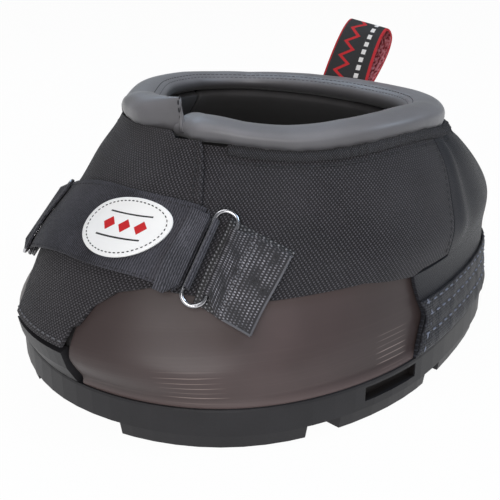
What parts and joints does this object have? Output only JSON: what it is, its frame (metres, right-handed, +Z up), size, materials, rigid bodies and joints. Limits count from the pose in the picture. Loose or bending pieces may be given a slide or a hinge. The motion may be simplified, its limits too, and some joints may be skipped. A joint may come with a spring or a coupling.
{
  "type": "horse hoof boot",
  "caption": "Hoof boot with a lugged rubber sole, hard side walls, nylon upper, padded collar, front flap closed by a strap through wire rings, and a heel pull loop.",
  "frame": {"origin": "on the floor plane, on the tread rib at the middle of the sole, under the centre of the hoof", "axes": "+Z up, -Y towards the toe, +X towards the side of the strap's free end"},
  "size_m": [0.174, 0.2137, 0.1197],
  "materials": {
    "rubber_black": "moulded, satin",
    "board_grey": "pressed fibre board, matt",
    "foam_black": "closed cell foam, matt",
    "hard_wall_brown": "moulded, smooth satin",
    "nylon_black": "woven ballistic nylon, matt",
    "heel_patch_black": "coated cloth, matt",
    "lining_grey": "padded knit lining, matt",
    "collar_grey": "smooth neoprene, matt",
    "strap_black": "ribbed webbing, matt",
    "hook_pad_black": "hook tape, matt",
    "label_white": "soft plastic, satin",
    "keeper_mesh": "mesh webbing, shiny threads",
    "steel_dark": "bright wire",
    "loop_black": "webbing, matt",
    "loop_tail_black": "webbing, matt"
  },
  "bodies": {
    "boot": {"outsole": "rubber_black", "insole_board": "board_grey", "footbed_pad": "foam_black", "side_wall_right": "hard_wall_brown", "side_wall_left": "hard_wall_brown", "toe_panel": "nylon_black", "quarter_right": "nylon_black", "quarter_left": "nylon_black", "heel_panel": "nylon_black", "heel_guard": "heel_patch_black", "lining_toe": "lining_grey", "lining_right": "lining_grey", "lining_left": "lining_grey", "lining_heel": "lining_grey", "collar_roll": "collar_grey", "ring_keeper_right": "keeper_mesh", "ring_keeper_left": "keeper_mesh", "keeper_base_right": "keeper_mesh", "keeper_base_left": "keeper_mesh", "loop_tail": "loop_tail_black"},
    "front_flap": {"front_flap": "nylon_black", "front_collar_end": "collar_grey", "strap_band": "strap_black", "strap_fold_left": "strap_black", "strap_fold_right": "strap_black", "oval_label": "label_white"},
    "strap_tab": {"strap_tab": "strap_black", "hook_pad": "hook_pad_black"},
    "inner_flap": {"inner_flap": "nylon_black"},
    "ring_right": {"ring_right": "steel_dark"},
    "ring_left": {"ring_left": "steel_dark"},
    "pull_loop": {"pull_loop": "loop_black"}
  },
  "joints": [
    {"name": "front_flap_open", "type": "hinge", "parent": "boot", "child": "front_flap", "pos_m": [-0.03988, -0.07169, 0.05734], "axis": [-0.1248, -0.654, -0.7461], "range_deg": [0, 75], "deforming": ["strap_fold_right"]},
    {"name": "inner_flap_open", "type": "hinge", "parent": "boot", "child": "inner_flap", "pos_m": [0.03021, -0.05624, 0.07451], "axis": [-0.1341, 0.6497, 0.7482], "range_deg": [0, 33.75]},
    {"name": "strap_tab_peel", "type": "hinge", "parent": "front_flap", "child": "strap_tab", "pos_m": [0.03923, -0.06831, 0.06489], "axis": [-0.1119, 0.6888, 0.7163], "range_deg": [0, 120]},
    {"name": "ring_right_lift", "type": "hinge", "parent": "boot", "child": "ring_right", "pos_m": [0.04553, -0.06288, 0.06065], "axis": [-0.1119, 0.6888, 0.7163], "range_deg": [0, 4]},
    {"name": "ring_left_lift", "type": "hinge", "parent": "boot", "child": "ring_left", "pos_m": [-0.04658, -0.0679, 0.05514], "axis": [-0.1248, -0.654, -0.7461], "range_deg": [0, 4]},
    {"name": "pull_loop_swing", "type": "hinge", "parent": "boot", "child": "pull_loop", "pos_m": [-0.00865, 0.07453, 0.08962], "axis": [-0.9963, -0.0857, 0], "range_deg": [-22, 38]}
  ],
  "couplings": [
    {"joint": "inner_flap_open", "follows": "front_flap_open", "ratio": 0.45}
  ]
}
